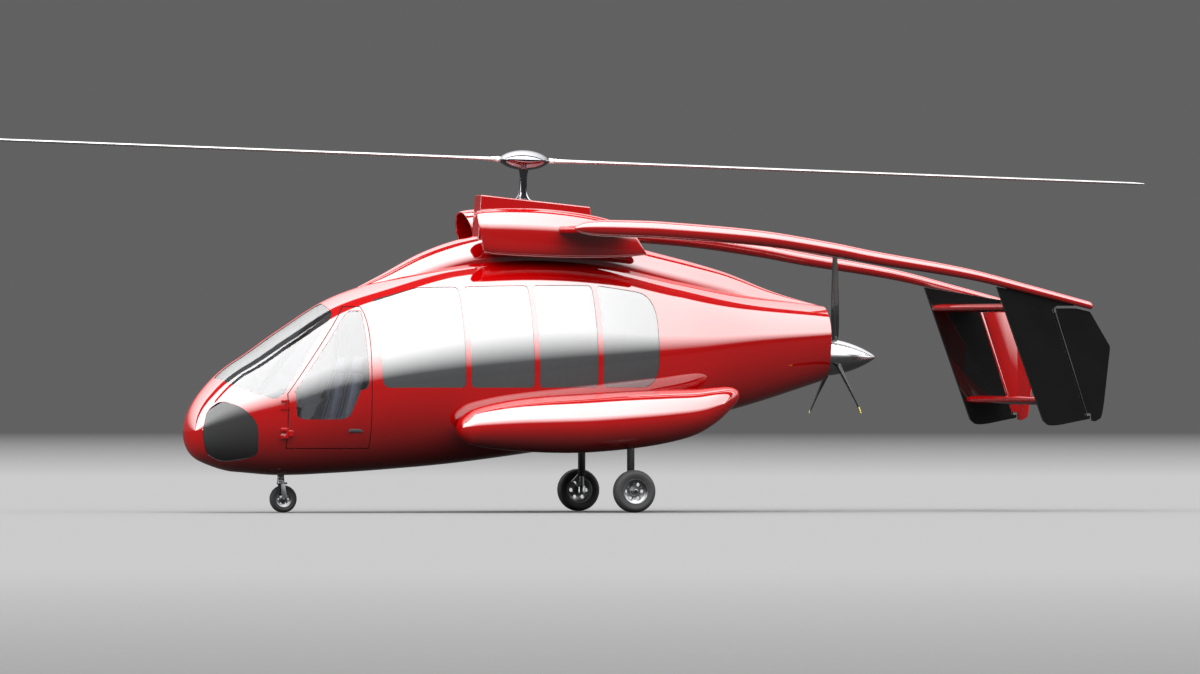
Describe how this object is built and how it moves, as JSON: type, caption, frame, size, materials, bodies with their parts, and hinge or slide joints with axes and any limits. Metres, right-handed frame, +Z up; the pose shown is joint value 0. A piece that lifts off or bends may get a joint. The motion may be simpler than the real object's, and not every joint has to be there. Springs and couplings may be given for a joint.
{
  "type": "electric twin-boom rotorcraft",
  "caption": "Electric rotorcraft with a teardrop cabin, main rotor on a mast, pusher propeller between tail booms, side sponsons over wheeled gear, and hinged crew doors.",
  "frame": {"origin": "on the ground, below the main rotor's hub, in the middle plane", "axes": "+Z up, nose toward -X, left side toward -Y"},
  "size_m": [15.1914, 3.3606, 4.416],
  "materials": {
    "red_paint": "gloss",
    "black_paint": "gloss",
    "white_paint": "satin",
    "silver_paint": "gloss",
    "tinted_glass": "gloss",
    "dark_chrome": "polished",
    "bare_metal": "satin",
    "cabin_lining": "matte",
    "panel_black": "matte",
    "seat_leather": "satin",
    "battery_case": "satin",
    "tyre_rubber": "matte"
  },
  "bodies": {
    "airframe": {"cockpit_shell": "red_paint", "cabin_side_left": "red_paint", "cabin_side_right": "red_paint", "roof_shell": "red_paint", "belly_front_left": "red_paint", "belly_front_right": "red_paint", "belly_rear_left": "red_paint", "belly_rear_right": "red_paint", "tail_left": "red_paint", "tail_right": "red_paint", "spine_fairing": "red_paint", "nacelles": "red_paint", "stub_wings": "red_paint", "booms": "red_paint", "fins": "black_paint", "stabilisers": "red_paint", "sponsons": "red_paint", "rotor_pylon": "red_paint", "mast": "dark_chrome", "windshield": "tinted_glass", "chin_windows": "tinted_glass", "cabin_windows": "tinted_glass", "cabin_floor": "cabin_lining", "instrument_panel": "panel_black", "pilot_seats": "seat_leather", "passenger_seats": "seat_leather", "bulkheads": "cabin_lining", "battery": "battery_case", "motor": "bare_metal", "nose_leg": "bare_metal", "main_legs": "bare_metal", "hinge_pins": "bare_metal"},
    "rotor": {"rotor_hub": "dark_chrome", "rotor_blades": "white_paint"},
    "propeller": {"spinner": "silver_paint", "propeller_blades": "black_paint"},
    "crew_door_left": {"door_left": "red_paint", "door_left_window": "tinted_glass", "door_left_hinges": "bare_metal"},
    "crew_door_right": {"door_right": "red_paint", "door_right_window": "tinted_glass", "door_right_hinges": "bare_metal"},
    "rudder_l": {"rudder_left": "black_paint"},
    "rudder_r": {"rudder_right": "black_paint"},
    "nose_steering": {"nose_fork": "bare_metal"},
    "nose_wheel": {"nose_rim": "bare_metal", "nose_tyre": "tyre_rubber"},
    "main_wheel_left": {"main_rim_left": "bare_metal", "main_tyre_left": "tyre_rubber"},
    "main_wheel_right": {"main_rim_right": "bare_metal", "main_tyre_right": "tyre_rubber"}
  },
  "joints": [
    {"name": "rotor_spin", "type": "hinge", "parent": "airframe", "child": "rotor", "pos_m": [0, 0, 4.14], "axis": [0.0349, 0, 0.9994], "continuous": true},
    {"name": "propeller_spin", "type": "hinge", "parent": "airframe", "child": "propeller", "pos_m": [3.8, 0, 1.82], "axis": [1, 0, 0], "continuous": true},
    {"name": "crew_door_left_hinge", "type": "hinge", "parent": "airframe", "child": "crew_door_left", "pos_m": [-3.06, -0.76583, 1.13], "axis": [0, 0, -1], "range_deg": [0, 75]},
    {"name": "crew_door_right_hinge", "type": "hinge", "parent": "airframe", "child": "crew_door_right", "pos_m": [-3.06, 0.76583, 1.13], "axis": [0, 0, 1], "range_deg": [0, 75]},
    {"name": "rudder_left_hinge", "type": "hinge", "parent": "airframe", "child": "rudder_l", "pos_m": [6.44, -1.55, 1.135], "axis": [-0.3101, 0, 0.9507], "range_deg": [-25, 25]},
    {"name": "rudder_right_hinge", "type": "hinge", "parent": "airframe", "child": "rudder_r", "pos_m": [6.44, 1.55, 1.135], "axis": [-0.3101, 0, 0.9507], "range_deg": [-25, 25]},
    {"name": "nose_steer", "type": "hinge", "parent": "airframe", "child": "nose_steering", "pos_m": [-2.95, 0, 0.4], "axis": [0, 0, 1], "range_deg": [-60, 60]},
    {"name": "nose_wheel_spin", "type": "hinge", "parent": "nose_steering", "child": "nose_wheel", "pos_m": [-2.922, 0, 0.16], "axis": [0, 1, 0], "continuous": true},
    {"name": "main_wheel_left_spin", "type": "hinge", "parent": "airframe", "child": "main_wheel_left", "pos_m": [1, -1.27, 0.25], "axis": [0, 1, 0], "continuous": true},
    {"name": "main_wheel_right_spin", "type": "hinge", "parent": "airframe", "child": "main_wheel_right", "pos_m": [1, 1.27, 0.25], "axis": [0, 1, 0], "continuous": true}
  ]
}
